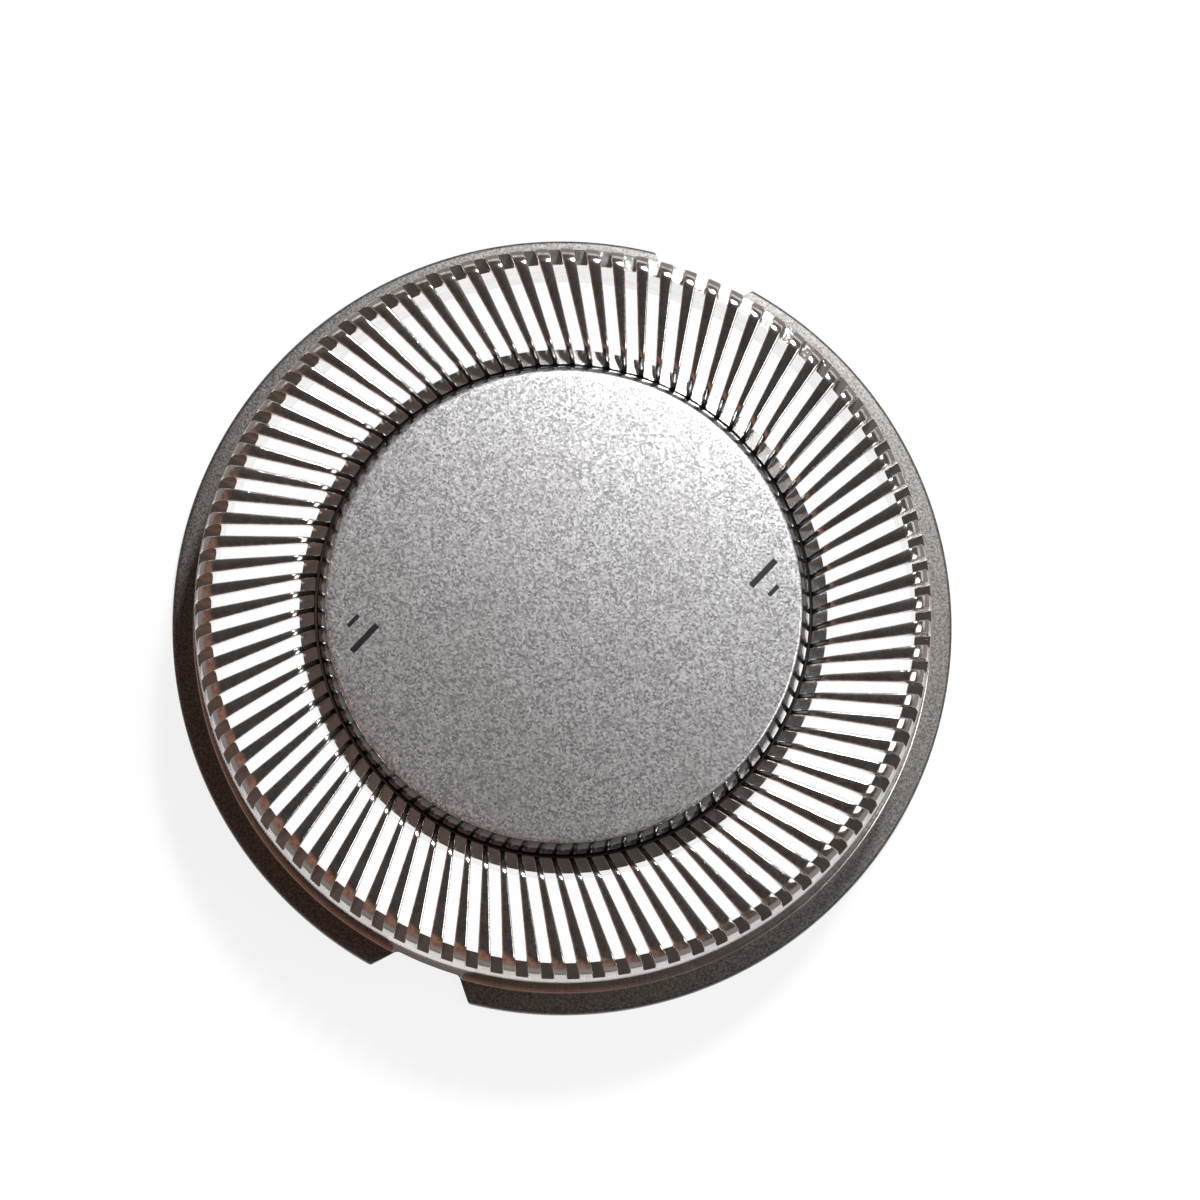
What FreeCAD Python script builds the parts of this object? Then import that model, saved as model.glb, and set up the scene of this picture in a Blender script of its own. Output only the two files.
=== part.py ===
import FreeCAD, Part
import math
import os
import Sketcher

# Rotary shaver head guard with its centre cap, in millimetres.
# The guard stands on the underside of its flange, which is z = 0. Its axis is Z, the slotted
# track is uppermost, and the flange's two notches lie on the Y axis.

# Driving dimensions: name, value, meaning
SIZES = [
    ("flange_diameter", 22.6, "outside of the flange"),
    ("flange_thickness", 0.35, "flange, top to underside"),
    ("flange_round", 0.1, "rounding of the flange's top outer edge"),
    ("foot_round", 0.06, "small round where the wall meets the flange"),
    ("flange_width", 0.65, "flange, from the cup's straight wall to its edge"),
    ("outer_wall", 0.51, "thickness of the outer wall"),
    ("guard_height", 4.4, "underside of the flange to the top of the track"),
    ("crown_depth", 1.6, "tapered stretch of the outer wall below the top"),
    ("crown_inset", 0.16, "how far that taper leans in at the top"),
    ("outer_round", 0.5, "rounding of the track's outer edge"),
    ("lead_in", 0.6, "sloping inner edge of the track, across"),
    ("lead_in_drop", 0.5, "the same, top to bottom"),
    ("lead_in_round", 0.15, "rounding where the track turns down into that slope"),
    ("recess_round", 0.4, "rounding where the slope turns down into the recess"),
    ("track_thickness", 0.3, "steel above the ring channel, which is the height of a bar"),
    ("track_width", 3.49, "outside of the straight wall to the recess that holds the cap"),
    ("recess_wall", 0.44, "wall between the recess and the ring channel"),
    ("recess_depth", 1.6, "top of the track to the recess floor"),
    ("floor_thickness", 0.5, "recess floor"),
    ("hole_diameter", 4.4, "hole in the recess floor, filled by the cap's boss"),
    ("slot_count", 90, "slots round the track"),
    ("slot_width", 0.33, "width of a slot"),
    ("slot_offset", 2.15, "distance from the axis to a slot's centre line"),
    ("slot_start", 0.9, "turn of the first slot from the X axis, in degrees"),
    ("slot_depth_inner", 0.42, "depth of a slot's floor at its inner end"),
    ("slot_depth_outer", 1.18, "depth of a slot's floor at its outer end"),
    ("slot_overrun", 0.5, "how far a slot's cut runs past the recess and the wall"),
    ("notch_count", 2, "notches in the flange"),
    ("notch_mouth", 3.05, "width of a notch at the flange's edge"),
    ("notch_floor", 1.92, "width of a notch at its floor"),
    ("notch_bite", 0.08, "how far a notch's floor cuts into the wall"),
    ("notch_height", 1.05, "height of a notch above the flange's underside"),
    ("notch_overrun", 0.5, "how far a notch's cut runs past the flange"),
    ("notch_corner", 0.2, "round in the inner corners of a notch"),
    ("notch_lip", 0.12, "rounding of the flange beside a notch's mouth"),
    ("cap_gap", 0.06, "clearance round the cap in its recess"),
    ("flank_lean", 0.27, "how far the cap's flank leans in from its foot to the face"),
    ("face_rise", 0.57, "cap's face edge above the track"),
    ("dome_height", 0.18, "rise of the face from its edge to its middle"),
    ("face_round", 0.1, "rounding of the face's edge"),
    ("flank_drop", 0.6, "foot of the cap's curved flank below the track"),
    ("cap_wall", 0.9, "thickness of the cap's rim and face"),
    ("boss_wall", 0.7, "how far the boss's shoulder reaches past the hole"),
    ("head_overlap", 0.4, "how far the staked head reaches past the hole"),
    ("head_thickness", 0.5, "staked head under the recess floor"),
    ("head_chamfer", 0.15, "chamfer of the staked head"),
    ("pin_bore", 1.6, "diameter of the blind bore for the cutter's pin"),
    ("pin_bore_depth", 2.0, "depth of that bore"),
]

# Lines of the section, as expressions on the sheet
RIM = "sizes.flange_diameter / 2"
WALL = f"{RIM} - sizes.flange_width"
TOP = "sizes.guard_height"
FLANGE_TOP = "sizes.flange_thickness"
CROWN_FOOT = f"{TOP} - sizes.crown_depth"
CROWN_RIM = f"{WALL} - sizes.crown_inset"
CHANNEL_OUTER = f"{WALL} - sizes.outer_wall"
RECESS = f"{WALL} - sizes.track_width"
CHANNEL_INNER = f"{RECESS} + sizes.recess_wall"
CEILING = f"{TOP} - sizes.track_thickness"
LEAD_IN = f"{RECESS} + sizes.lead_in"
LEAD_IN_FOOT = f"{TOP} - sizes.lead_in_drop"
FLOOR_TOP = f"{TOP} - sizes.recess_depth"
FLOOR_BOTTOM = f"{FLOOR_TOP} - sizes.floor_thickness"
HOLE = "sizes.hole_diameter / 2"
NOTCH_FLOOR = f"{WALL} - sizes.notch_bite"
NOTCH_FLOOR_Y = f"sqrt(({NOTCH_FLOOR}) ^ 2 - (sizes.notch_floor / 2) ^ 2)"
NOTCH_MOUTH_Y = f"sqrt(({RIM}) ^ 2 - (sizes.notch_mouth / 2) ^ 2)"
NOTCH_OUTSIDE = f"{RIM} + sizes.notch_overrun"

CAP_SIDE = f"{RECESS} - sizes.cap_gap"
FACE_EDGE = f"{CAP_SIDE} - sizes.flank_lean"
FACE_LEVEL = f"{TOP} + sizes.face_rise"
DOME_TOP = f"{FACE_LEVEL} + sizes.dome_height"
FLANK_FOOT = f"{TOP} - sizes.flank_drop"
FLANK_HEIGHT = f"{FACE_LEVEL} - ({FLANK_FOOT})"
CAP_ROOF = f"{FACE_LEVEL} - sizes.cap_wall"
CAP_INSIDE = f"{CAP_SIDE} - sizes.cap_wall"
BOSS_SHOULDER = f"{HOLE} + sizes.boss_wall"
STAKED_HEAD = f"{HOLE} + sizes.head_overlap"
BOSS_END = f"{FLOOR_BOTTOM} - sizes.head_thickness"
PIN_BORE = "sizes.pin_bore / 2"
PIN_BORE_END = f"{BOSS_END} + sizes.pin_bore_depth"

ORIGIN = (-1, 1)
ACROSS_AXIS = -1
UP_AXIS = -2
START, END, CENTRE = 1, 2, 3
SAME_PLACE = 1e-6
SAME_SIZE = 1e-4

doc = FreeCAD.newDocument("shaver_head_guard")
sheet = doc.addObject("Spreadsheet::Sheet", "sizes")
for row, (alias, value, meaning) in enumerate(SIZES, start=1):
    sheet.set(f"A{row}", str(value))
    sheet.setAlias(f"A{row}", alias)
    sheet.set(f"B{row}", "'" + meaning)
doc.recompute()


def number(expression):
    """Value of an expression on the sheet."""
    return float(sheet.evalExpression(expression))


def arc_radius(chord_across, chord_up):
    """Expression for the radius of an arc that leaves one end square to `chord_across`."""
    return f"(({chord_across}) ^ 2 + ({chord_up}) ^ 2) / (2 * ({chord_across}))"


def new_body(name):
    """An empty body whose label is the name of its node."""
    body = doc.addObject("PartDesign::Body", name)
    body.Label = name
    return body


def new_sketch(body, name, role):
    """A sketch on one of the body's own origin planes."""
    sketch = body.newObject("Sketcher::SketchObject", name)
    plane = next(o for o in body.Origin.OriginFeatures if o.Role == role)
    sketch.AttachmentSupport = [(plane, "")]
    sketch.MapMode = "FlatFace"
    return sketch


def hold(sketch, geometry, point, across, up):
    """Ties a point of the sketch to two expressions, measured from the origin."""
    for kind, axis, expression in (("DistanceX", UP_AXIS, across), ("DistanceY", ACROSS_AXIS, up)):
        if expression == "0":
            sketch.addConstraint(Sketcher.Constraint("PointOnObject", geometry, point, axis))
            continue
        constraint = Sketcher.Constraint(kind, *ORIGIN, geometry, point, number(expression))
        index = sketch.addConstraint(constraint)
        sketch.setExpression(f"Constraints[{index}]", expression)


def hold_radius(sketch, geometry, expression):
    """Ties an arc's radius to an expression."""
    index = sketch.addConstraint(Sketcher.Constraint("Radius", geometry, number(expression)))
    sketch.setExpression(f"Constraints[{index}]", expression)


def arc_through(start, end, radius):
    """Arc from start to end, turning clockwise, with the given radius and less than half a turn."""
    chord = end - start
    middle = (start + end) * 0.5
    across = FreeCAD.Vector(chord.y, -chord.x, 0).normalize()
    reach = math.sqrt(radius ** 2 - (chord.Length / 2) ** 2)
    return Part.Arc(start, middle - across * (radius - reach), end)


def nearer_end(sketch, geometry, point):
    """Which end of a line or arc lies on the point."""
    near = (sketch.getPoint(geometry, END) - point).Length < SAME_PLACE
    return END if near else START


def outline(body, name, role, steps):
    """Closed outline. A step is the point (across, up) that it ends at, and a radius if it is an arc."""
    sketch = new_sketch(body, name, role)
    points = [FreeCAD.Vector(number(step[0]), number(step[1]), 0) for step in steps]
    for i, step in enumerate(steps):
        start, end = points[i - 1], points[i]
        if len(step) == 2:
            sketch.addGeometry(Part.LineSegment(start, end))
        else:
            sketch.addGeometry(arc_through(start, end, number(step[2])))
    ends = []
    for i, step in enumerate(steps):
        end = nearer_end(sketch, i, points[i])
        ends.append((START, END) if end == END else (END, START))
    for i, step in enumerate(steps):
        previous = (i - 1) % len(steps)
        sketch.addConstraint(Sketcher.Constraint("Coincident", previous, ends[previous][1], i, ends[i][0]))
        hold(sketch, i, ends[i][1], step[0], step[1])
        if len(step) == 3:
            hold_radius(sketch, i, step[2])
    return sketch


def turn(body, name, sketch):
    """Full turn of a section round the Z axis."""
    solid = body.newObject("PartDesign::Revolution", name)
    solid.Profile = sketch
    solid.ReferenceAxis = (sketch, ["V_Axis"])
    solid.Angle = 360
    doc.recompute()
    return solid


def ring_edges(feature, radius, height):
    """Names of the feature's circular edges of that radius at that height."""
    names = []
    for i, edge in enumerate(feature.Shape.Edges, start=1):
        if edge.Degenerated or not isinstance(edge.Curve, Part.Circle):
            continue
        curve = edge.Curve
        if abs(curve.Radius - radius) < SAME_SIZE and abs(curve.Center.z - height) < SAME_SIZE:
            names.append(f"Edge{i}")
    return names


def upright_edges(feature, radius):
    """Names of the feature's straight upright edges at that distance from the Z axis."""
    names = []
    for i, edge in enumerate(feature.Shape.Edges, start=1):
        if edge.Degenerated or not isinstance(edge.Curve, Part.Line):
            continue
        middle = edge.CenterOfMass
        upright = abs(edge.Curve.Direction.z) > 0.999
        if upright and abs(math.hypot(middle.x, middle.y) - radius) < SAME_SIZE:
            names.append(f"Edge{i}")
    return names


def dress(body, kind, name, base, edges, size_property, alias):
    """Fillet or chamfer of the named edges, with its size from the sheet."""
    feature = body.newObject(kind, name)
    feature.Base = (base, edges)
    feature.setExpression(size_property, f"sizes.{alias}")
    doc.recompute()
    return feature


def repeat(body, name, feature, count):
    """Copies of a cut, spread evenly round the Z axis."""
    pattern = body.newObject("PartDesign::PolarPattern", name)
    axis = next(o for o in body.Origin.OriginFeatures if o.Role == "Z_Axis")
    pattern.Originals = [feature]
    pattern.Axis = (axis, [""])
    pattern.Angle = 360
    pattern.setExpression("Occurrences", f"sizes.{count}")
    body.Tip = pattern
    doc.recompute()
    return pattern


def guard_blank(body):
    """The cup before its slots and notches: track, walls, flange, recess and floor."""
    section = outline(body, "guard_section", "XZ_Plane", [
        (HOLE, FLOOR_BOTTOM),
        (CHANNEL_INNER, FLOOR_BOTTOM),
        (CHANNEL_INNER, CEILING),
        (CHANNEL_OUTER, CEILING),
        (CHANNEL_OUTER, "0"),
        (RIM, "0"),
        (RIM, FLANGE_TOP),
        (WALL, FLANGE_TOP),
        (WALL, CROWN_FOOT),
        (CROWN_RIM, TOP),
        (LEAD_IN, TOP),
        (RECESS, LEAD_IN_FOOT),
        (RECESS, FLOOR_TOP),
        (HOLE, FLOOR_TOP),
    ])
    blank = turn(body, "guard_blank", section)
    rounds = [
        ("track_outer_round", CROWN_RIM, TOP, "outer_round"),
        ("track_inner_round", LEAD_IN, TOP, "lead_in_round"),
        ("recess_edge_round", RECESS, LEAD_IN_FOOT, "recess_round"),
        ("wall_foot_round", WALL, FLANGE_TOP, "foot_round"),
        ("flange_edge_round", RIM, FLANGE_TOP, "flange_round"),
    ]
    for name, radius, height, alias in rounds:
        edges = ring_edges(blank, number(radius), number(height))
        blank = dress(body, "PartDesign::Fillet", name, blank, edges, "Radius", alias)
    return blank


def notch_points():
    """Where a notch's floor, corner arc and side meet on its +X half, and the middle of that arc."""
    floor_radius = number(NOTCH_FLOOR)
    corner = number("sizes.notch_corner")
    foot = FreeCAD.Vector(number("sizes.notch_floor / 2"), number(NOTCH_FLOOR_Y), 0)
    mouth = FreeCAD.Vector(number("sizes.notch_mouth / 2"), number(NOTCH_MOUTH_Y), 0)
    along = (mouth - foot).normalize()
    inward = FreeCAD.Vector(-along.y, along.x, 0)
    # The corner's centre lies one corner radius from the side and from the floor arc
    base = foot + inward * corner
    reach = floor_radius + corner
    slide = -base.dot(along) + math.sqrt(base.dot(along) ** 2 - base.Length ** 2 + reach ** 2)
    centre = base + along * slide
    on_floor = centre * (floor_radius / reach)
    on_side = centre - inward * corner
    bulge = centre + ((on_floor + on_side) * 0.5 - centre).normalize() * corner
    outside = foot + along * ((number(NOTCH_OUTSIDE) - foot.y) / along.y)
    return on_floor, bulge, on_side, outside


def flip(point):
    """The same point on the -X half."""
    return FreeCAD.Vector(-point.x, point.y, 0)


def notch_outline(body):
    """A notch seen from above: floor arc, two rounded corners and two sides that open outwards."""
    sketch = new_sketch(body, "notch_outline", "XY_Plane")
    on_floor, bulge, on_side, outside = notch_points()
    floor_top = FreeCAD.Vector(0, number(NOTCH_FLOOR), 0)
    floor = sketch.addGeometry(Part.Arc(on_floor, floor_top, flip(on_floor)))
    right = sketch.addGeometry(Part.Arc(on_floor, bulge, on_side))
    right_side = sketch.addGeometry(Part.LineSegment(on_side, outside))
    lid = sketch.addGeometry(Part.LineSegment(outside, flip(outside)))
    left_side = sketch.addGeometry(Part.LineSegment(flip(outside), flip(on_side)))
    left = sketch.addGeometry(Part.Arc(flip(on_side), flip(bulge), flip(on_floor)))

    meetings = [
        ("Tangent", floor, right, on_floor),
        ("Tangent", right, right_side, on_side),
        ("Coincident", right_side, lid, outside),
        ("Coincident", lid, left_side, flip(outside)),
        ("Tangent", left_side, left, flip(on_side)),
        ("Tangent", left, floor, flip(on_floor)),
    ]
    sketch.addConstraint(Sketcher.Constraint("Coincident", floor, CENTRE, *ORIGIN))
    hold_radius(sketch, floor, NOTCH_FLOOR)
    for kind, first, second, point in meetings:
        ends = nearer_end(sketch, first, point), nearer_end(sketch, second, point)
        sketch.addConstraint(Sketcher.Constraint(kind, first, ends[0], second, ends[1]))
    hold_radius(sketch, right, "sizes.notch_corner")
    hold_radius(sketch, left, "sizes.notch_corner")
    widths = (("sizes.notch_floor / 2", NOTCH_FLOOR_Y), ("sizes.notch_mouth / 2", NOTCH_MOUTH_Y))
    for side, sign in ((right_side, ""), (left_side, "-")):
        for half, height in widths:
            across = f"{sign}({half})"
            place = FreeCAD.Vector(number(across), number(height), 0)
            mark = sketch.addGeometry(Part.Point(place), True)
            hold(sketch, mark, START, across, height)
            sketch.addConstraint(Sketcher.Constraint("PointOnObject", mark, START, side))
    lid_up = Sketcher.Constraint("DistanceY", *ORIGIN, lid, START, number(NOTCH_OUTSIDE))
    sketch.setExpression(f"Constraints[{sketch.addConstraint(lid_up)}]", NOTCH_OUTSIDE)
    sketch.addConstraint(Sketcher.Constraint("Horizontal", lid))
    return sketch


def cut_notches(body):
    """The two flange notches, which also take a shallow facet out of the wall above them."""
    sketch = notch_outline(body)
    doc.recompute()
    pocket = body.newObject("PartDesign::Pocket", "notch_cut")
    pocket.Profile = sketch
    pocket.Reversed = True
    pocket.setExpression("Length", "sizes.notch_height")
    doc.recompute()
    notches = repeat(body, "notches", pocket, "notch_count")
    edges = upright_edges(notches, number(RIM))
    return dress(body, "PartDesign::Fillet", "notch_lips", notches, edges, "Radius", "notch_lip")


def cut_slots(body):
    """The slots: straight cuts that miss the axis by the slot offset, with a floor that falls outwards."""
    inner_end = f"sqrt(({RECESS}) ^ 2 - sizes.slot_offset ^ 2) - sizes.slot_overrun"
    outer_end = f"sqrt(({WALL}) ^ 2 - sizes.slot_offset ^ 2) + sizes.slot_overrun"
    above = f"{TOP} + sizes.slot_overrun"
    sketch = outline(body, "slot_profile", "XZ_Plane", [
        (inner_end, above),
        (inner_end, f"{TOP} - sizes.slot_depth_inner"),
        (outer_end, f"{TOP} - sizes.slot_depth_outer"),
        (outer_end, above),
    ])
    # The sketch plane is turned to the first slot and moved to its centre line
    sketch.AttachmentOffset = FreeCAD.Placement(
        FreeCAD.Vector(0, 0, 0), FreeCAD.Rotation(FreeCAD.Vector(0, 1, 0), 1))
    sketch.setExpression("AttachmentOffset.Rotation.Angle", "sizes.slot_start")
    sketch.setExpression("AttachmentOffset.Base.x", "sizes.slot_offset * sin(sizes.slot_start)")
    sketch.setExpression("AttachmentOffset.Base.z", "sizes.slot_offset * cos(sizes.slot_start)")
    doc.recompute()
    pocket = body.newObject("PartDesign::Pocket", "slot_cut")
    pocket.Profile = sketch
    pocket.SideType = "Symmetric"
    pocket.setExpression("Length", "sizes.slot_width")
    doc.recompute()
    return repeat(body, "slots", pocket, "slot_count")


def build_guard():
    """The steel guard, one piece."""
    body = new_body("guard")
    guard_blank(body)
    cut_notches(body)
    cut_slots(body)
    return body


def build_cap():
    """The moulded cap: domed face, curved flank, rim, and a boss staked over under the floor."""
    body = new_body("centre_cap")
    section = outline(body, "cap_section", "XZ_Plane", [
        ("0", DOME_TOP),
        (FACE_EDGE, FACE_LEVEL, arc_radius("sizes.dome_height", FACE_EDGE)),
        (CAP_SIDE, FLANK_FOOT, arc_radius("sizes.flank_lean", FLANK_HEIGHT)),
        (CAP_SIDE, FLOOR_TOP),
        (CAP_INSIDE, FLOOR_TOP),
        (CAP_INSIDE, CAP_ROOF),
        (BOSS_SHOULDER, CAP_ROOF),
        (BOSS_SHOULDER, FLOOR_TOP),
        (HOLE, FLOOR_TOP),
        (HOLE, FLOOR_BOTTOM),
        (STAKED_HEAD, FLOOR_BOTTOM),
        (STAKED_HEAD, BOSS_END),
        (PIN_BORE, BOSS_END),
        (PIN_BORE, PIN_BORE_END),
        ("0", PIN_BORE_END),
    ])
    cap = turn(body, "cap_blank", section)
    edges = ring_edges(cap, number(FACE_EDGE), number(FACE_LEVEL))
    cap = dress(body, "PartDesign::Fillet", "face_edge_round", cap, edges, "Radius", "face_round")
    edges = ring_edges(cap, number(STAKED_HEAD), number(BOSS_END))
    dress(body, "PartDesign::Chamfer", "head_edge", cap, edges, "Size", "head_chamfer")
    return body


def check(bodies):
    """Stops the build if a feature failed or a shape isn't a sound single solid."""
    doc.recompute()
    for item in doc.Objects:
        if "Invalid" in item.State or "Error" in item.State:
            raise RuntimeError(f"{item.Name} failed: {item.State}")
    for body in bodies:
        shape = body.Shape
        if shape.isNull() or not shape.isValid() or len(shape.Solids) != 1:
            raise RuntimeError(f"{body.Label} isn't one valid solid")


parts = [build_guard(), build_cap()]
check(parts)
os.makedirs("parts", exist_ok=True)
for part in parts:
    part.Shape.exportStep(f"parts/{part.Label}.step")
    print(part.Label, round(part.Shape.Volume, 3), "mm3", len(part.Shape.Faces), "faces")
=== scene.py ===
import math

import bmesh
import bpy
import numpy as np
from mathutils import Matrix, Vector


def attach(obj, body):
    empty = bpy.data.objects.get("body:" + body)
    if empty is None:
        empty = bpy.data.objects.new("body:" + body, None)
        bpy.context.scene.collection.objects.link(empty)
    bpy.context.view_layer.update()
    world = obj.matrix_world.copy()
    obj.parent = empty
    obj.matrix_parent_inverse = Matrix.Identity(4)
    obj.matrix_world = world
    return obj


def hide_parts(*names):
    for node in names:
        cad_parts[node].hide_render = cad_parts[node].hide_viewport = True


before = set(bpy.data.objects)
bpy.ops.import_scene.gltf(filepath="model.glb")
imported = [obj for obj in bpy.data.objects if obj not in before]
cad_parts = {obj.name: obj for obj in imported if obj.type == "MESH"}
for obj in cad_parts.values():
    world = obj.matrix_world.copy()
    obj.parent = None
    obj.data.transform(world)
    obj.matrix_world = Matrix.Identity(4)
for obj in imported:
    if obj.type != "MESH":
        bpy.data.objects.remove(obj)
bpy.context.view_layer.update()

MM = 0.001
TURN = 2 * math.pi

# Meshes: points this near are one, edges this short go, and edges that turn more than this show
MERGED, SLIVER, SHARP = 0.0002 * MM, 0.0001 * MM, math.radians(35)

# The steel guard's section, in millimetres: distance from the axis, height above the flange's underside
RIM, WALL, TOP = 11.3, 10.65, 4.4
FLANGE_TOP, FLANGE_ROUND, FOOT_ROUND = 0.35, 0.1, 0.06
CROWN_FOOT, CROWN_INSET, OUTER_ROUND = 2.8, 0.16, 0.5
LEAD_IN, LEAD_IN_DROP, LEAD_IN_ROUND, RECESS_ROUND = 0.6, 0.4, 0.45, 0.4
CHANNEL_OUTER, CHANNEL_INNER, CEILING = 10.14, 7.6, 4.1
RECESS, FLOOR_TOP, FLOOR_BOTTOM, HOLE = 7.16, 2.8, 2.3, 2.2

# The skewed slots: straight cuts that miss the axis by the offset. Their floor starts at a distance
# along the cut and a level, and falls by a share of the way outwards
SLOTS, SLOT_WIDTH, SLOT_OFFSET, FIRST_SLOT = 90, 0.33, 2.15, math.radians(0.9)
SLOT_START, SLOT_START_LEVEL, SLOT_FALL = 6.3296, 3.98, 0.76 / 4.6011

# A bar's columns on one side: distance from the bar's side, and how far its rounded edge drops there.
# The rounding fades out over a short way from the slots' floors
BAR_EDGE = 0.045
EDGE_INSET = BAR_EDGE * np.array([0, 0.13, 0.5, 1])
EDGE_DROP = BAR_EDGE - np.sqrt(BAR_EDGE ** 2 - (BAR_EDGE - EDGE_INSET) ** 2)
BAR_COLUMNS = 2 * len(EDGE_INSET)
EDGE_FADE = 0.12

# The two notches in the flange, on the Y axis, and how points crowd at their corners, in degrees
NOTCH_MOUTH, NOTCH_FLOOR_WIDTH, NOTCH_FLOOR = 3.05, 1.92, 10.57
NOTCH_HEIGHT, NOTCH_CORNER, NOTCH_LIP = 1.05, 0.2, 0.12
CORNER_AT, CORNER_SPREAD, CORNER_CROWDING = 6.4, 1.9, 2.6

# The cap's section
DOME_TOP, FACE_EDGE, FACE_LEVEL, FACE_ROUND = 5.15, 6.83, 4.97, 0.1
CAP_SIDE, FLANK_FOOT, CAP_ROOF, CAP_INSIDE = 7.1, 3.8, 4.07, 6.2
SHOULDER, STAKED_HEAD, HEAD_CHAMFER, BOSS_END = 2.9, 2.6, 0.15, 1.8
PIN_BORE, PIN_BORE_END = 0.8, 3.8
CAP_SEGMENTS = 288

# The cap's printed dashes: middle, length and width of each, and the bearing that they share
DASHES = (((4.97, 2.99), 1.04, 0.187), ((-4.97, -2.99), 1.06, 0.187),
          ((5.43, 2.63), 0.40, 0.13), ((-5.46, -2.64), 0.45, 0.13))
DASH_BEARING, DASH_SOFT = math.radians(68.3), 0.012

# Colours of the steel, then of the cap
POLISHED_DARK, POLISHED_LIGHT = (0.72, 0.685, 0.66, 1), (0.84, 0.82, 0.80, 1)
WORN_STEEL = (0.36, 0.31, 0.28, 1)
MATT_DARK, MATT_LIGHT = (0.08, 0.074, 0.069, 1), (0.24, 0.23, 0.222, 1)
LACQUER_DARK, LACQUER_LIGHT = (0.26, 0.258, 0.268, 1), (0.86, 0.855, 0.87, 1)
LACQUER_SPARK, LACQUER_CLOUD = (0.92, 0.92, 0.94, 1), (0.50, 0.48, 0.48, 1)
BLACK_PLASTIC = (0.006, 0.006, 0.007, 1)

# Roughness of the finishes, and relief in millimetres. The flange's top leans outwards by a slope, and
# the cap's face drops by its lean times the radius squared
POLISHED_ROUGHNESS, MATT_ROUGHNESS, CAP_ROUGHNESS = 0.07, 0.40, 0.12
FINE_RELIEF, GRAIN_RELIEF, GLINT_RELIEF, FLAKE_RELIEF = 0.0016, 0.007, 0.006, 0.0035
FLANGE_LEAN, FACE_LEAN = 0.15, 0.0026

# The floor: half its side and its level, in metres, its colours, and how much of its look is plain
# white instead of lit, everywhere and then in addition under the slots, where the extra white is painted
# light over the guard's shade
FLOOR_HALF, FLOOR_LEVEL = 0.4, -0.01 * MM
FLOOR_DARK, FLOOR_LIGHT = (0.86, 0.86, 0.86, 1), (0.90, 0.90, 0.90, 1)
# The dim colour is painted shade, which the steel mirrors from the floor's painted rings
MIRRORED_PAINTED_SHADE, WHITE = (0.13, 0.105, 0.095, 1), (1, 1, 1, 1)
FLOOR_WHITENESS, SLOT_PAINTED_LIGHT = 0.86, 0.12

# What the steel mirrors of the floor is painted by the distance from the axis, in millimetres: a ring of
# painted shadow at the flange's foot, then a painted white band that the crown mirrors as a bright line,
# then painted dimness again
FOOT_SHADOW_START, FOOT_SHADOW_FULL, FOOT_SHADOW_FADE, FOOT_SHADOW_END = 10.3, 10.5, 11.05, 11.25
PAINTED_WHITE_FADE, PAINTED_WHITE_END = 11.65, 12.2

# Surroundings: bearings in degrees round the axis, from X, and the colours of what glows there
KEY_BEARING, SIDE_BEARING, WARM_BEARING = 90, 12, 240
SIDE_GLOW, OVERHEAD_GLOW = (0.11, 0.092, 0.082, 1), (0.062, 0.055, 0.051, 1)
WARM_GLOW, LOW_LIGHT, LOW_LIGHT_LEVEL = (0.27, 0.15, 0.11, 1), (1.0, 0.99, 0.985), 0.8

# The camera: the way to it from the part, the bearing of the picture's right side, its distance and
# the width that it takes in, in metres, and its aim's shift to the right and up, in millimetres
CAMERA_SIDE, PICTURE_BEARING = (0.035, -0.124, 0.992), 21.7
CAMERA_DISTANCE, CAMERA_FIELD, CAMERA_SENSOR = 0.45, 0.03448, 36
AIM_RIGHT, AIM_UP = 1.043, 0.244


def line(start, end, count=2):
    """Points on a straight line, evenly spread."""
    t = np.linspace(0, 1, count)[:, None]
    return np.array(start) * (1 - t) + np.array(end) * t


def arc(centre, radius, start, end, count):
    """Points on an arc: centre + radius * (cos a, sin a), with a going from start to end in degrees."""
    a = np.radians(np.linspace(start, end, count))
    return np.column_stack((centre[0] + radius * np.cos(a), centre[1] + radius * np.sin(a)))


def chain(*parts):
    """The parts laid end to end, with the points that neighbours share kept once."""
    points = np.vstack(parts)
    apart = np.linalg.norm(np.diff(points, axis=0), axis=1) > 1e-6
    return points[np.concatenate(([True], apart))]


def lengths(points):
    """Distance along the chain at each of its points."""
    return np.concatenate(([0], np.cumsum(np.linalg.norm(np.diff(points, axis=0), axis=1))))


def stations(whole, run, where):
    """The points of a section at given distances along it."""
    return np.column_stack((np.interp(where, run, whole[:, 0]), np.interp(where, run, whole[:, 1])))


def place(radius, height, angle):
    """Points in metres: (radius * cos angle, radius * sin angle, height), over arrays of one shape."""
    radius, height, angle = np.broadcast_arrays(radius, height, angle)
    return np.stack((radius * np.cos(angle), radius * np.sin(angle), height), axis=-1) * MM


def grid(points, closed=False):
    """Four-sided faces over a grid of points, closed round its second way if asked."""
    rows, columns = points.shape[:2]
    index = np.arange(rows * columns).reshape(rows, columns)
    if closed:
        index = np.concatenate((index, index[:, :1]), axis=1)
    corners = (index[:-1, :-1], index[1:, :-1], index[1:, 1:], index[:-1, 1:])
    return points.reshape(-1, 3), np.stack(corners, axis=-1).reshape(-1, 4)


def grids(points):
    """The same for one grid on each bar, from points ordered by row, bar and column."""
    points = points.transpose(1, 0, 2, 3)
    _, faces = grid(points[0])
    shift = (np.arange(len(points)) * points[0, ..., 0].size)[:, None, None]
    return points.reshape(-1, 3), (faces[None] + shift).reshape(-1, 4)


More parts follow.
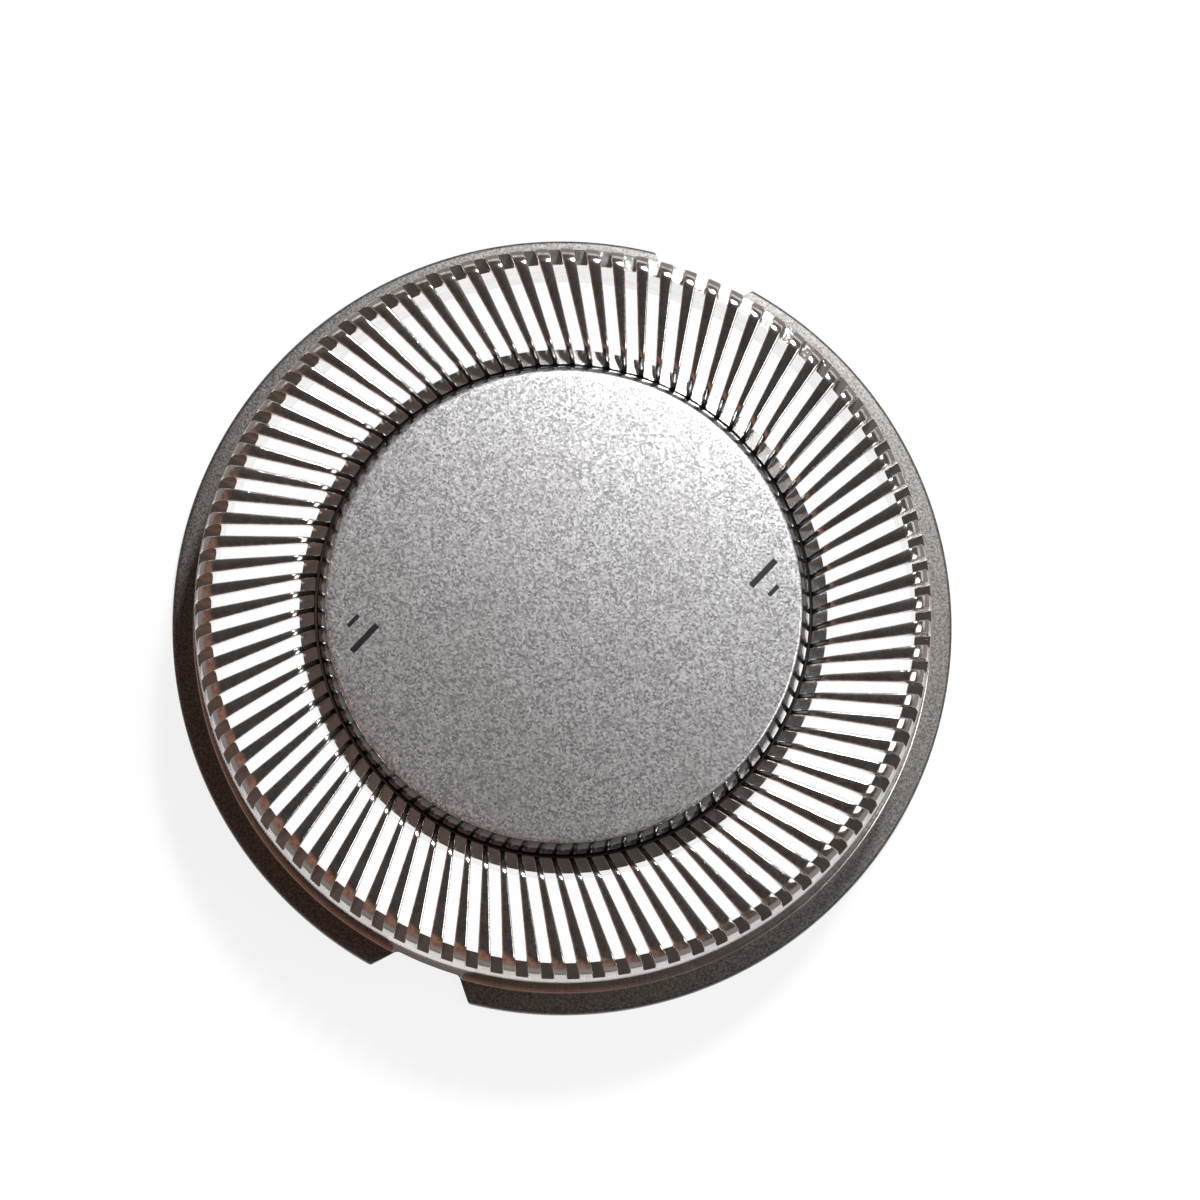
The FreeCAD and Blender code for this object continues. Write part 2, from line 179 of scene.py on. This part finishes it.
def make_piece(name, patches):
    """One mesh from patches of points and faces: shared points merged, faces turned outwards."""
    points, faces, start = [], [], 0
    for patch_points, patch_faces in patches:
        points.append(patch_points)
        faces.append(patch_faces + start)
        start += len(patch_points)
    mesh = bpy.data.meshes.new(name)
    mesh.from_pydata(np.vstack(points), [], np.vstack(faces))
    work = bmesh.new()
    work.from_mesh(mesh)
    bmesh.ops.remove_doubles(work, verts=work.verts, dist=MERGED)
    bmesh.ops.dissolve_degenerate(work, edges=work.edges, dist=SLIVER)
    bmesh.ops.recalc_face_normals(work, faces=work.faces)
    work.to_mesh(mesh)
    work.free()
    mesh.shade_smooth()
    mesh.set_sharp_from_angle(angle=SHARP)
    piece = bpy.data.objects.new(name, mesh)
    bpy.context.scene.collection.objects.link(piece)
    return piece


def slot_floor(radius):
    """Height of a slot's floor at a radius: it falls in a straight line along the cut."""
    along = np.sqrt(np.square(radius) - SLOT_OFFSET ** 2)
    return SLOT_START_LEVEL - SLOT_FALL * (along - SLOT_START)


def column_angles(radius):
    """Angle of every bar column at each radius. A slot's side is a straight line that misses the axis by
    d, so at radius r it lies at -arcsin(d / r). Inside the recess's wall and outside the outer one the
    angles stay as they are at that wall."""
    radius = np.clip(np.asarray(radius, float), RECESS, WALL)[:, None, None]
    pitch = TURN / SLOTS
    near_side = -np.arcsin((SLOT_OFFSET - SLOT_WIDTH / 2) / radius)
    far_side = pitch - np.arcsin((SLOT_OFFSET + SLOT_WIDTH / 2) / radius)
    skew = np.sqrt(1 - (SLOT_OFFSET / radius) ** 2)
    inset = EDGE_INSET / (radius * skew)
    across = np.concatenate((near_side + inset, far_side - inset[..., ::-1]), axis=2)
    return FIRST_SLOT + pitch * np.arange(SLOTS)[None, :, None] + across


def on_columns(section):
    """A section's points on every bar column, ordered by row, bar and column."""
    return place(section[:, 0, None, None], section[:, 1, None, None], column_angles(section[:, 0]))


def track_section():
    """Outside of a bar, up from the recess: inner round, sloping lead-in, lip round, flat top, outer round
    and tapered crown. Gives its points, their distances along it, and the distances of five places:
    the slot's floor, both ends of the flat top, the crown's start and the slot's floor again."""
    taper = math.atan2(CROWN_INSET, TOP - CROWN_FOOT)
    middle_level = TOP - OUTER_ROUND
    crown_radius = WALL - CROWN_INSET * (middle_level - CROWN_FOOT) / (TOP - CROWN_FOOT)
    middle = crown_radius - OUTER_ROUND / math.cos(taper)
    outer = arc((middle, middle_level), OUTER_ROUND, 90, math.degrees(taper), 200)
    slope = math.degrees(math.atan2(LEAD_IN_DROP, LEAD_IN))
    foot_reach = RECESS_ROUND * math.tan(math.radians(90 - slope) / 2)
    lip_reach = LEAD_IN_ROUND * math.tan(math.radians(slope) / 2)
    foot_level = TOP - LEAD_IN_DROP - foot_reach
    foot = arc((RECESS + RECESS_ROUND, foot_level), RECESS_ROUND, 180, 90 + slope, 100)
    lip = arc((RECESS + LEAD_IN + lip_reach, TOP - LEAD_IN_ROUND), LEAD_IN_ROUND, 90 + slope, 90, 60)
    inner = chain(foot, line(foot[-1], lip[0], 80), lip)
    crown = line(outer[-1], (WALL, CROWN_FOOT), 200)
    whole = chain(inner, line(inner[-1], outer[0], 300), outer, crown)
    run = lengths(whole)
    above = whole[:, 1] - slot_floor(whole[:, 0])
    first = np.interp(0, above[:len(inner)], run[:len(inner)])
    last = np.interp(0, -above[-len(crown):], run[-len(crown):])
    flat = run[whole[:, 1] > TOP - 1e-7]
    return whole, run, (first, flat[0], flat[-1], run[-len(crown) - 1], last)


def bar_stations(places):
    """Distances of a bar's rows along the track's section, closest together on the rounds."""
    first, top_start, top_end, crown_start, last = places
    return np.concatenate((
        np.linspace(first, top_start, 13),
        np.linspace(top_start, top_end, 6)[1:-1],
        np.linspace(top_end, crown_start, 10),
        np.linspace(crown_start, last, 6)[1:]))


def bar_tops(outside, where):
    """The bars' outer faces: the section on every column, sunk along its normal at the rounded edges,
    which fade out towards the slots' floors."""
    slope = np.gradient(outside, where, axis=0)
    normal = np.column_stack((-slope[:, 1], slope[:, 0]))
    normal /= np.linalg.norm(normal, axis=1)[:, None]
    fade = np.clip(np.minimum(where - where[0], where[-1] - where) / EDGE_FADE, 0, 1)
    drop = np.concatenate((EDGE_DROP, EDGE_DROP[::-1])) * fade[:, None, None]
    radius = outside[:, 0, None, None] - normal[:, 0, None, None] * drop
    height = outside[:, 1, None, None] - normal[:, 1, None, None] * drop
    return place(radius, height, column_angles(outside[:, 0]))


def notch_edge():
    """Radius of the flange's edge against the angle from a notch's middle: floor, corner, side, lip, rim.
    A round's centre lies beside the notch's straight side, where its circle also touches floor or rim."""
    foot = np.array([NOTCH_FLOOR_WIDTH / 2, math.sqrt(NOTCH_FLOOR ** 2 - (NOTCH_FLOOR_WIDTH / 2) ** 2)])
    mouth = np.array([NOTCH_MOUTH / 2, math.sqrt(RIM ** 2 - (NOTCH_MOUTH / 2) ** 2)])
    along = (mouth - foot) / np.linalg.norm(mouth - foot)
    away = np.array([along[1], -along[0]])

    def round_centre(offset, reach):
        base = foot + away * offset
        slide = -base @ along + math.sqrt((base @ along) ** 2 - base @ base + reach ** 2)
        return base + along * slide

    def heading(vector):
        return math.degrees(math.atan2(vector[1], vector[0]))

    corner = round_centre(-NOTCH_CORNER, NOTCH_FLOOR + NOTCH_CORNER)
    lip = round_centre(NOTCH_LIP, RIM - NOTCH_LIP)
    inner = arc(corner, NOTCH_CORNER, heading(-corner), heading(away), 24)
    outer = arc(lip, NOTCH_LIP, heading(-away), heading(lip), 24)
    points = chain(inner, line(inner[-1], outer[0], 12), outer)
    angle = np.arctan2(points[:, 0], points[:, 1])
    radius = np.hypot(points[:, 0], points[:, 1])
    return np.concatenate(([0], angle, [math.pi / 2])), np.concatenate(([NOTCH_FLOOR], radius, [RIM]))


def from_notch(angle):
    """Angle from the middle of the nearer notch."""
    return np.abs((angle % math.pi) - math.pi / 2)


def flange_angles(count):
    """Angles round the flange, spread by a density that is 1 and rises at the notches' corners in a bell
    with a flat top, 1 + crowding * exp(-(distance / spread) ^ 4)."""
    fine = np.linspace(0, TURN, 36001)
    off_corner = (np.degrees(from_notch(fine)) - CORNER_AT) / CORNER_SPREAD
    density = 1 + CORNER_CROWDING * np.exp(-off_corner ** 4)
    crowded = np.concatenate(([0], np.cumsum((density[1:] + density[:-1]) / 2)))
    crowded *= TURN / crowded[-1]
    return np.interp(TURN * np.arange(count) / count, crowded, fine)


def start_near(angles, first):
    """The angles of a full turn, rolled so that they start nearest to a given angle and go on from it."""
    nearest = np.interp(first + TURN, np.concatenate((angles, angles + TURN)), np.arange(2 * len(angles)))
    rolled = np.unwrap(np.roll(angles, -int(round(nearest))))
    return rolled + TURN * round((first - rolled[0]) / TURN)


def flange_section():
    """Top of the flange from the wall's foot to the rim: foot round, flat top, rounded edge."""
    foot = arc((WALL + FOOT_ROUND, FLANGE_TOP + FOOT_ROUND), FOOT_ROUND, 180, 270, 6)
    edge = arc((RIM - FLANGE_ROUND, FLANGE_TOP - FLANGE_ROUND), FLANGE_ROUND, 90, 0, 7)
    return chain(foot, line(foot[-1], edge[0], 4), edge)


def lower_wall(track_end, even):
    """Wall, notch facet, flange, underside and outside of the ring channel, in rows down from the slots.
    Radius: the section's, or the flange's edge where that is less. Height: the section's, but on the
    side of a notch the flange's top. Angle: the bars' columns by the slots, the given ones at the flange
    and a blend of both between them."""
    edge = np.interp(from_notch(even), *notch_edge())[None, :]
    crown = line(track_end, (WALL, CROWN_FOOT), 3)
    wall = line((WALL, CROWN_FOOT), (WALL, NOTCH_HEIGHT), 10)[1:]
    upper = np.vstack((crown, wall))
    facet = line((WALL, NOTCH_HEIGHT), (WALL, FLANGE_TOP + FOOT_ROUND), 4)
    top = flange_section()
    flange = chain(facet, top, [(RIM, 0)])
    notch_side = (flange[:, :1] > edge) & (edge > WALL) & (flange[:, 1:] > 0)
    radius = np.minimum(flange[:, :1], edge)
    height = np.where(notch_side, np.interp(edge, top[:, 0], top[:, 1]), flange[:, 1:])
    channel = line((CHANNEL_OUTER, 0), (CHANNEL_OUTER, slot_floor(CHANNEL_OUTER)), 10)
    full = np.ones((1, len(even)))
    radius = np.vstack((upper[:, :1] * full, radius, channel[:, :1] * full))
    height = np.vstack((upper[:, 1:] * full, height, channel[:, 1:] * full))
    settle = np.concatenate((
        np.clip((CROWN_FOOT - upper[:, 1]) / (CROWN_FOOT - NOTCH_HEIGHT), 0, 1),
        np.ones(len(flange)),
        1 - channel[:, 1] / slot_floor(CHANNEL_OUTER)))[:, None]
    columns = column_angles(radius[:, 0]).reshape(len(settle), -1)
    return place(radius, height, columns * (1 - settle) + even * settle)


def guard_patches():
    """The guard as grids that share their edges: the bars' outer faces, undersides and sides, the slots'
    floors inside and outside the channel, the outer wall with the flange, and the cup."""
    whole, run, places = track_section()
    where = bar_stations(places)
    outside = stations(whole, run, where)
    inside = np.vstack((
        outside[:1],
        [(CHANNEL_INNER, slot_floor(CHANNEL_INNER))],
        line((CHANNEL_INNER, CEILING), (CHANNEL_OUTER, CEILING), len(where) - 4),
        [(CHANNEL_OUTER, slot_floor(CHANNEL_OUTER))],
        outside[-1:]))
    bars, under = bar_tops(outside, where), on_columns(inside)
    patches = [grids(bars), grids(under[1:-1])]
    for side in (0, -1):
        patches.append(grids(np.stack((bars[:, :, side], under[:, :, side]), axis=2)))
    for floor in (under[:2], under[-2:]):
        next_bar = np.roll(floor, -1, axis=1)
        patches.append(grids(np.stack((floor[:, :, -1], next_bar[:, :, 0]), axis=2)))

    even = start_near(flange_angles(SLOTS * BAR_COLUMNS), column_angles([WALL])[0, 0, 0])
    patches.append(grid(lower_wall(outside[-1], even), closed=True))

    recess_wall = stations(whole, run, np.linspace(where[0], 0, 4))[::-1]
    cup = chain(
        line((CHANNEL_INNER, slot_floor(CHANNEL_INNER)), (CHANNEL_INNER, FLOOR_BOTTOM), 4),
        line((CHANNEL_INNER, FLOOR_BOTTOM), (HOLE, FLOOR_BOTTOM), 4),
        line((HOLE, FLOOR_TOP), (RECESS, FLOOR_TOP), 4),
        recess_wall)
    patches.append(grid(on_columns(cup).reshape(len(cup), -1, 3), closed=True))
    return patches


def turned(section, segments):
    """A section turned once round the axis; its points on the axis become poles."""
    angle = TURN * np.arange(segments) / segments
    return [grid(place(section[:, :1], section[:, 1:], angle[None, :]), closed=True)]


def cap_section():
    """Domed face, rounded edge, curved flank, rim, hollow inside, boss, staked head and pin bore. The
    edge's round has its centre where it lies as deep inside the flank's circle as inside the dome's."""
    rise = DOME_TOP - FACE_LEVEL
    dome = (rise ** 2 + FACE_EDGE ** 2) / (2 * rise)
    lean, drop = CAP_SIDE - FACE_EDGE, FACE_LEVEL - FLANK_FOOT
    flank = (lean ** 2 + drop ** 2) / (2 * lean)
    flank_middle = np.array([CAP_SIDE - flank, FLANK_FOOT])
    dome_middle = np.array([0, DOME_TOP - dome])
    sweep = np.radians(np.linspace(15, 40, 2000))
    inset = flank_middle + (flank - FACE_ROUND) * np.column_stack((np.cos(sweep), np.sin(sweep)))
    miss = np.linalg.norm(inset - dome_middle, axis=1) - (dome - FACE_ROUND)
    flank_end = math.degrees(np.interp(0, miss, sweep))
    middle = inset[np.argmin(np.abs(miss))]
    dome_end = math.degrees(math.atan2(*(middle - dome_middle)[::-1]))
    return chain(
        arc(dome_middle, dome, 90, dome_end, 40),
        arc(middle, FACE_ROUND, dome_end, flank_end, 9),
        arc(flank_middle, flank, flank_end, 0, 20),
        line((CAP_SIDE, FLANK_FOOT), (CAP_SIDE, FLOOR_TOP)),
        line((CAP_INSIDE, FLOOR_TOP), (CAP_INSIDE, CAP_ROOF)),
        line((SHOULDER, CAP_ROOF), (SHOULDER, FLOOR_TOP)),
        line((HOLE, FLOOR_TOP), (HOLE, FLOOR_BOTTOM)),
        line((STAKED_HEAD, FLOOR_BOTTOM), (STAKED_HEAD, BOSS_END + HEAD_CHAMFER)),
        line((STAKED_HEAD - HEAD_CHAMFER, BOSS_END), (PIN_BORE, BOSS_END)),
        line((PIN_BORE, PIN_BORE_END), (0, PIN_BORE_END)))


class Value:
    """A number in a shader. Arithmetic on it adds Math nodes."""

    def __init__(self, finish, socket):
        self.finish, self.socket = finish, socket

    def math(self, operation, *terms):
        return self.finish.value("ShaderNodeMath", {"operation": operation}, dict(enumerate(terms)))

    def __add__(self, other):
        return self.math("ADD", self, other)

    def __sub__(self, other):
        return self.math("SUBTRACT", self, other)

    def __rsub__(self, other):
        return self.math("SUBTRACT", other, self)

    def __mul__(self, other):
        return self.math("MULTIPLY", self, other)

    def __pow__(self, other):
        return self.math("POWER", self, other)

    def __abs__(self):
        return self.math("ABSOLUTE", self)

    __radd__ = __add__
    __rmul__ = __mul__

    def most(self, *others):
        """The largest of this number and the others."""
        largest = self
        for other in others:
            largest = self.math("MAXIMUM", largest, other)
        return largest

    def ramp(self, low, high):
        """0 at low and 1 at high, with soft ends."""
        return self.finish.value("ShaderNodeMapRange", {"interpolation_type": "SMOOTHSTEP"},
                                 {"Value": self, "From Min": low, "From Max": high})


class Finish:
    """The shader of one finish, built node by node through add()."""

    def __init__(self, owner):
        owner.use_nodes = True
        self.tree = owner.node_tree
        self.tree.nodes.clear()

    def add(self, kind, settings=None, sockets=None):
        """One node: its settings first, then the value or link of each socket."""
        node = self.tree.nodes.new(kind)
        for name, setting in (settings or {}).items():
            setattr(node, name, setting)
        for name, entry in (sockets or {}).items():
            if isinstance(entry, Value):
                entry = entry.socket
            if isinstance(entry, bpy.types.NodeSocket):
                self.tree.links.new(entry, node.inputs[name])
            else:
                node.inputs[name].default_value = entry
        return node

    def output(self, kind, settings=None, sockets=None):
        """The first output of a new node."""
        return self.add(kind, settings, sockets).outputs[0]

    def value(self, kind, settings, sockets):
        """The same for a node that gives a number."""
        return Value(self, self.output(kind, settings, sockets))

    def scale(self, vector, factor):
        """A vector times a number."""
        return self.output("ShaderNodeVectorMath", {"operation": "SCALE"}, {0: vector, "Scale": factor})

    def parts(self, vector):
        """The x, y and z of a vector."""
        return [Value(self, part) for part in self.add("ShaderNodeSeparateXYZ", None, {0: vector}).outputs]

    def millimetres(self):
        """Place on the piece in millimetres: the vector, then x, y and z."""
        vector = self.scale(self.add("ShaderNodeTexCoord").outputs["Object"], 1 / MM)
        return vector, *self.parts(vector)

    def noise(self, vector, scale, detail=2.0, roughness=0.5):
        """Soft random patches from about 0 to 1."""
        return self.value("ShaderNodeTexNoise", None,
                          {"Vector": vector, "Scale": scale, "Detail": detail, "Roughness": roughness})

    def cells(self, vector, scale):
        """A random number on each small cell."""
        colour = self.add("ShaderNodeTexVoronoi", None, {"Vector": vector, "Scale": scale}).outputs["Color"]
        return self.value("ShaderNodeSeparateColor", None, {0: colour})

    def mix(self, factor, first, second):
        """Blend of two colours, which are a Mix node's sockets 6 and 7, with output 2."""
        return self.add("ShaderNodeMix", {"data_type": "RGBA"}, {0: factor, 6: first, 7: second}).outputs[2]

    def blend(self, factor, first, second):
        """Blend of two shaders."""
        return self.output("ShaderNodeMixShader", None, {0: factor, 1: first, 2: second})

    def bump(self, height):
        """Normal of a surface with a relief given in millimetres."""
        return self.output("ShaderNodeBump", None, {"Height": height, "Strength": 1.0, "Distance": MM})

    def glow(self, colour):
        """Shader that gives out a colour as it is written."""
        return self.output("ShaderNodeEmission", None, {"Color": colour, "Strength": 1.0})

    def rays(self, *names):
        """1 for rays of the named kinds."""
        light_path = self.add("ShaderNodeLightPath")
        first, *others = (Value(self, light_path.outputs[name]) for name in names)
        return first.most(*others)


def new_finish(name):
    """A new material and the finish that fills it."""
    material = bpy.data.materials.new(name)
    return material, Finish(material)


def steel_finish():
    """Polished stainless steel with faint smears, worn tops on the bars, and the flange matt and grainy."""
    material, finish = new_finish("polished_steel")
    vector, x, y, z = finish.millimetres()
    radius = (x * x + y * y) ** 0.5
    flange = radius.ramp(WALL + 0.02, WALL + 0.07) * (1 - z.ramp(FLANGE_TOP + 0.03, FLANGE_TOP + 0.09))
    lead_in = (1 - radius.ramp(RECESS + 0.5, RECESS + 0.75)) * z.ramp(TOP - 1.0, TOP - 0.8)
    smear = finish.noise(vector, scale=1.3, detail=3)
    grain = finish.noise(vector, scale=15, detail=3, roughness=0.75)
    fine = finish.noise(vector, scale=60, detail=1)
    wear = finish.noise(vector, scale=6, detail=4, roughness=0.65)
    worn = wear.ramp(0.42, 0.62) * z.ramp(TOP - 0.25, TOP - 0.08)
    glint = finish.cells(vector, scale=18)

    polished = finish.mix(smear.ramp(0.3, 0.7), POLISHED_DARK, POLISHED_LIGHT)
    polished = finish.mix(worn * 0.6, polished, WORN_STEEL)
    matt = finish.mix(grain.ramp(0.3, 0.7), MATT_DARK, MATT_LIGHT)
    # Smears, wear and the lead-in each dull the polish a little
    polished_roughness = POLISHED_ROUGHNESS + smear * 0.04 + worn * 0.04 + lead_in * 0.06
    matt_roughness = MATT_ROUGHNESS + grain * 0.15
    matt_relief = grain * GRAIN_RELIEF + glint * GLINT_RELIEF - (radius - WALL) * FLANGE_LEAN
    relief = fine * FINE_RELIEF * (1 - flange) + matt_relief * flange
    surface = finish.output("ShaderNodeBsdfPrincipled", None, {
        "Base Color": finish.mix(flange, polished, matt),
        "Metallic": 1.0,
        "Roughness": polished_roughness * (1 - flange) + matt_roughness * flange,
        "Normal": finish.bump(relief)})
    finish.add("ShaderNodeOutputMaterial", None, {"Surface": surface})
    return material


def printed_dashes(x, y):
    """1 inside any dash: within half its length along it, and within half its width across it."""
    c, s = math.cos(DASH_BEARING), math.sin(DASH_BEARING)
    dashes = []
    for (middle_x, middle_y), length, width in DASHES:
        along = abs((x - middle_x) * c + (y - middle_y) * s)
        across = abs((y - middle_y) * c - (x - middle_x) * s)
        past_end = along.ramp(length / 2 - DASH_SOFT, length / 2 + DASH_SOFT)
        past_side = across.ramp(width / 2 - DASH_SOFT, width / 2 + DASH_SOFT)
        dashes.append((1 - past_end) * (1 - past_side))
    return dashes[0].most(*dashes[1:])


def cap_finish():
    """Silver lacquer with a metallic sparkle on the face, black index dashes, gloss black flank."""
    material, finish = new_finish("lacquered_cap")
    vector, x, y, z = finish.millimetres()
    face = z.ramp(FACE_LEVEL - 0.055, FACE_LEVEL - 0.035)
    dashes = printed_dashes(x, y)
    silver = face * (1 - dashes)
    flake = finish.cells(vector, scale=18)
    cloud = finish.noise(vector, scale=0.35, detail=2)

    lacquer = finish.mix(flake, LACQUER_DARK, LACQUER_LIGHT)
    lacquer = finish.mix(flake.ramp(0.955, 0.995), lacquer, LACQUER_SPARK)
    lacquer = finish.mix(cloud.ramp(0.3, 0.8) * 0.25, lacquer, LACQUER_CLOUD)
    relief = flake * silver * FLAKE_RELIEF - (x * x + y * y) * face * FACE_LEAN
    surface = finish.output("ShaderNodeBsdfPrincipled", None, {
        "Base Color": finish.mix(silver, BLACK_PLASTIC, lacquer),
        "Metallic": silver * 0.95,
        "Roughness": CAP_ROUGHNESS + silver * 0.22 + dashes * face * 0.25,
        "Normal": finish.bump(relief)})
    finish.add("ShaderNodeOutputMaterial", None, {"Surface": surface})
    return material


def floor_finish():
    """Pale floor that keeps the shadow and shows near white to the camera and in reflections, a little
    whiter under the slots as painted light. In reflections it shows painted shade in a ring at the flange's
    foot, a painted white band past it and painted dimness further out."""
    material, finish = new_finish("pale_floor")
    vector, x, y, _ = finish.millimetres()
    reach = x * x + y * y

    def past(start, end):
        return reach.ramp(start ** 2, end ** 2)

    fleck = finish.noise(vector, scale=0.8, detail=3)
    colour = finish.mix(fleck, FLOOR_DARK, FLOOR_LIGHT)
    matt = finish.output("ShaderNodeBsdfDiffuse", None, {"Color": colour})
    # Painted shadow and painted reflection: to reflections the floor is dim in a ring at the flange's foot,
    # white past it, and dim again further out
    painted_foot_shadow = past(FOOT_SHADOW_START, FOOT_SHADOW_FULL) * (1 - past(FOOT_SHADOW_FADE, FOOT_SHADOW_END))
    white = (1 - painted_foot_shadow) * (1 - past(PAINTED_WHITE_FADE, PAINTED_WHITE_END))
    dim = (1 - white) * finish.rays("Is Glossy Ray")
    shown = finish.blend(dim, finish.glow(WHITE), finish.glow(MIRRORED_PAINTED_SHADE))
    # Painted light: under the slots the floor is made whiter still, over the shade that the guard casts
    # there
    whiteness = FLOOR_WHITENESS + (1 - past(CHANNEL_OUTER, WALL)) * SLOT_PAINTED_LIGHT
    seen = finish.rays("Is Camera Ray", "Is Glossy Ray", "Is Transmission Ray")
    surface = finish.blend(seen * whiteness, matt, shown)
    finish.add("ShaderNodeOutputMaterial", None, {"Surface": surface})
    return material


def build_floor():
    """Flat square a hundredth of a millimetre below the flange, so that the two don't share a plane."""
    sides = (-FLOOR_HALF, FLOOR_HALF)
    x, y = np.meshgrid(sides, sides, indexing="ij")
    vertices, faces = grid(np.stack((x, y, np.full(x.shape, FLOOR_LEVEL)), axis=-1))
    mesh = bpy.data.meshes.new("floor")
    mesh.from_pydata(vertices, [], faces)
    floor = bpy.data.objects.new("floor", mesh)
    bpy.context.scene.collection.objects.link(floor)
    mesh.materials.append(floor_finish())


def build_world():
    """Studio surroundings by direction: dim overhead, a little lighter to the sides, a warm glow from one
    bearing and a soft low light from the key lamp's. The camera itself sees white."""
    world = bpy.data.worlds.new("studio")
    bpy.context.scene.world = world
    finish = Finish(world)
    x, y, up = finish.parts(finish.add("ShaderNodeTexCoord").outputs["Generated"])

    def towards(bearing):
        angle = math.radians(bearing)
        return x * math.cos(angle) + y * math.sin(angle)

    glow = finish.mix(up.ramp(0.75, 0.97), SIDE_GLOW, OVERHEAD_GLOW)
    glow = finish.mix(towards(WARM_BEARING).ramp(0.12, 0.6), glow, WARM_GLOW)
    level = (1 - up.ramp(0.1, 0.4)) * towards(KEY_BEARING).ramp(0.1, 0.6) * LOW_LIGHT_LEVEL
    low = finish.scale(LOW_LIGHT, level)
    both = finish.output("ShaderNodeVectorMath", {"operation": "ADD"}, {0: glow, 1: low})
    colour = finish.mix(finish.rays("Is Camera Ray"), both, WHITE)
    shown = finish.output("ShaderNodeBackground", None, {"Color": colour, "Strength": 1.0})
    finish.add("ShaderNodeOutputWorld", None, {"Surface": shown})


def soft_lamp(name, bearing, elevation, distance, size, power):
    """A square soft lamp that faces the part: bearing and elevation in degrees, then metres and watts."""
    data = bpy.data.lights.new(name, "AREA")
    data.size, data.energy = size, power
    lamp = bpy.data.objects.new(name, data)
    bpy.context.scene.collection.objects.link(lamp)
    a, e = math.radians(bearing), math.radians(elevation)
    away = Vector((math.cos(a) * math.cos(e), math.sin(a) * math.cos(e), math.sin(e)))
    lamp.location = away * distance
    lamp.rotation_euler = away.to_track_quat("Z", "Y").to_euler()


def build_camera():
    """Camera at the photograph's angle, nearly straight down, with its lens set by the width taken in."""
    towards = Vector(CAMERA_SIDE).normalized()
    bearing = math.radians(PICTURE_BEARING)
    right = Vector((math.cos(bearing), math.sin(bearing), 0))
    right = (right - right.dot(towards) * towards).normalized()
    up = towards.cross(right)
    aim = Vector((0, 0, TOP * MM)) + right * AIM_RIGHT * MM + up * AIM_UP * MM
    data = bpy.data.cameras.new("camera")
    data.sensor_width = CAMERA_SENSOR
    data.lens = CAMERA_SENSOR * CAMERA_DISTANCE / CAMERA_FIELD
    data.clip_start, data.clip_end = 0.05, 5
    camera = bpy.data.objects.new("camera", data)
    bpy.context.scene.collection.objects.link(camera)
    turn = Matrix((right, up, towards)).transposed().to_4x4()
    camera.matrix_world = Matrix.Translation(aim + towards * CAMERA_DISTANCE) @ turn
    bpy.context.scene.camera = camera


guard = make_piece("guard_steel", guard_patches())
guard.data.materials.append(steel_finish())
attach(guard, "root")
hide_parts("guard")

cap = make_piece("cap_moulding", turned(cap_section(), CAP_SEGMENTS))
cap.data.materials.append(cap_finish())
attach(cap, "root")
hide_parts("centre_cap")

build_floor()
build_world()
soft_lamp("key_lamp", KEY_BEARING, elevation=51, distance=0.35, size=0.04, power=1.5)
soft_lamp("side_lamp", SIDE_BEARING, elevation=43, distance=0.35, size=0.17, power=0.4)
build_camera()
bpy.context.scene.view_settings.view_transform = "Standard"
